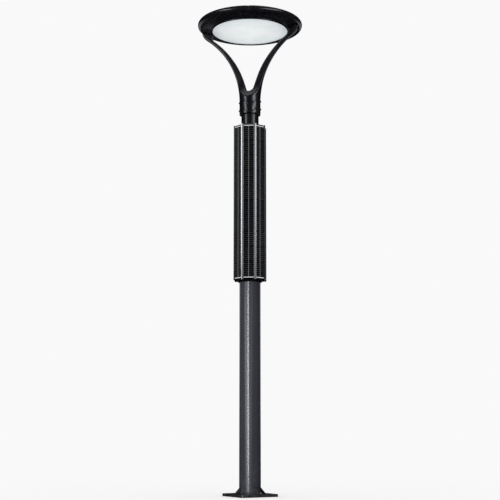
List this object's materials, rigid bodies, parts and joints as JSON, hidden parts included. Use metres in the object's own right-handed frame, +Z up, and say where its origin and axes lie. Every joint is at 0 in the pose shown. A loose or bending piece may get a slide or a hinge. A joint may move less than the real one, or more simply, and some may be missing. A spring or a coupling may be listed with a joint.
{
  "type": "solar street lamp",
  "caption": "Post-top solar street lamp: round LED head on a forked yoke, eight-sided solar column wrapped round a mast, and a round pole on a gusseted square base plate.",
  "frame": {"origin": "centre of the base plate's bottom face, on the pole's axis", "axes": "+Z up along the pole; the yoke's arms point along +X and -X; -Y is the front"},
  "size_m": [0.58, 0.5927, 2.621],
  "materials": {
    "plate_paint": "black powder coat on steel, slightly worn at the edges",
    "pole_paint": "slate grey semi-gloss powder coat on steel tube",
    "mast_paint": "near-black satin powder coat on steel tube",
    "zinc_steel": "zinc-plated steel",
    "stainless": "stainless steel",
    "black_screws": "black-oxide steel",
    "case_plastic": "moulded black ABS",
    "cell_wrap": "blue shrink wrap on a metal can",
    "board_green": "solder-masked circuit board",
    "unit_case": "anodised extruded case",
    "cable_jacket": "black cable jacket",
    "plain_aluminium": "mill-finish aluminium",
    "solar_laminate": "glass-fronted laminate over black cells with a white edge band",
    "rail_aluminium": "silver anodised aluminium",
    "dark_rail": "black anodised aluminium",
    "cap_paint": "black painted aluminium",
    "seal_rubber": "black EPDM",
    "head_paint": "near-black satin powder coat on cast aluminium",
    "opal_diffuser": "opal frosted diffuser",
    "white_liner": "white reflector plastic",
    "board_white": "white solder mask on an aluminium core",
    "led_phosphor": "phosphor-topped packages"
  },
  "bodies": {
    "root": {"base_plate": "plate_paint", "base_gussets": "plate_paint", "pole_tube": "pole_paint", "mast_tube": "mast_paint", "battery_shelf": "zinc_steel", "mast_ring_upper": "zinc_steel", "mast_ring_lower": "zinc_steel", "controller_bracket": "zinc_steel", "mast_bolts": "stainless", "battery_case": "case_plastic", "battery_case_lid": "case_plastic", "cell_spacers": "case_plastic", "junction_boxes": "case_plastic", "battery_cells": "cell_wrap", "battery_board": "board_green", "charge_controller": "unit_case", "mast_cable": "cable_jacket", "column_carrier": "plain_aluminium", "solar_panel_1": "solar_laminate", "solar_panel_2": "solar_laminate", "solar_panel_3": "solar_laminate", "solar_panel_4": "solar_laminate", "solar_panel_5": "solar_laminate", "solar_panel_6": "solar_laminate", "solar_panel_7": "solar_laminate", "solar_panel_8": "solar_laminate", "corner_rail_1": "rail_aluminium", "corner_rail_4": "rail_aluminium", "corner_rail_5": "rail_aluminium", "corner_rail_8": "rail_aluminium", "corner_rail_2": "dark_rail", "corner_rail_3": "dark_rail", "corner_rail_6": "dark_rail", "corner_rail_7": "dark_rail", "column_top_cap": "cap_paint", "column_bottom_cap": "cap_paint", "neck_seal": "seal_rubber", "pole_seal": "seal_rubber"},
    "head": {"yoke": "head_paint", "collar_screws": "black_screws", "head_housing": "head_paint", "bezel_ring": "head_paint", "lens_diffuser": "opal_diffuser", "lens_gasket": "seal_rubber", "light_box_liner": "white_liner", "heat_sink": "plain_aluminium", "led_board": "board_white", "led_chips": "led_phosphor", "led_driver": "unit_case", "cable_gland": "case_plastic", "foot_bolts": "stainless", "lid_gasket": "seal_rubber", "hinge_pin_rod": "stainless"},
    "lid": {"lid": "head_paint", "latch_pin_rod": "stainless"},
    "latch": {"latch_lever": "head_paint", "latch_spring": "stainless"}
  },
  "joints": [
    {"name": "head_swivel", "type": "hinge", "parent": "root", "child": "head", "pos_m": [0, 0, 2.056], "axis": [0, 0, 1], "range_deg": [-180, 180]},
    {"name": "lid_hinge", "type": "hinge", "parent": "head", "child": "lid", "pos_m": [-0.0645, 0.29094, 2.5729], "axis": [-0.9763, -0.2164, 0], "range_deg": [0, 75]},
    {"name": "latch_pivot", "type": "hinge", "parent": "lid", "child": "latch", "pos_m": [0.06125, -0.27629, 2.576], "axis": [0.9763, 0.2164, 0], "range_deg": [0, 35]}
  ]
}
